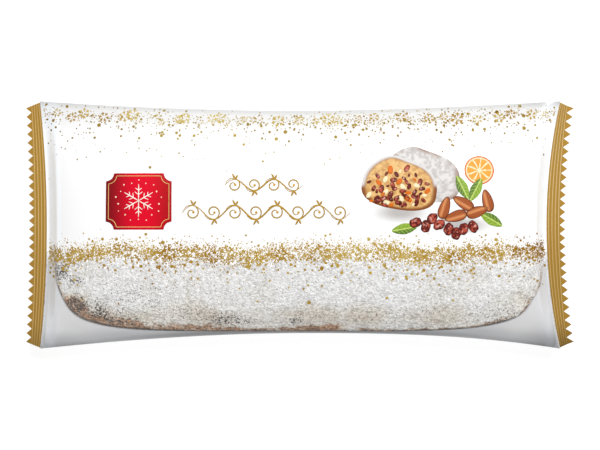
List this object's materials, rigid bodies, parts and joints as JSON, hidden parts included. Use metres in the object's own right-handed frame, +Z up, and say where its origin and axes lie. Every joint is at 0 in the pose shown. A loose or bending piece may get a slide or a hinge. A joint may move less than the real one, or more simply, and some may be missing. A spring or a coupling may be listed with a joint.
{
  "type": "packed stollen",
  "caption": "Stollen dusted with icing sugar, sealed in a pillow-shaped flow pack with a white printed front, a clear window and zigzag-cut end seals.",
  "frame": {"origin": "centre of the pack's footprint, on the ground that the flat back rests on", "axes": "+Z up out of the printed front, +X along the pack from one end seal to the other, +Y across it, from the side with the clear window to the side with the plain white film"},
  "size_m": [0.3594, 0.1622, 0.0501],
  "materials": {
    "printed_film": "white printed packing film with a satin gloss, drawn tight",
    "clear_film": "clear glossy packing film",
    "gold_print": "ochre gold ink on film, ribbed where the film is crimped",
    "colour_print": "printed fields of red and food colours on film",
    "sugared_crust": "powdery icing sugar over a brown baked crust, with specks where the crust shows"
  },
  "bodies": {
    "root": {"pack": "printed_film"}
  },
  "joints": []
}
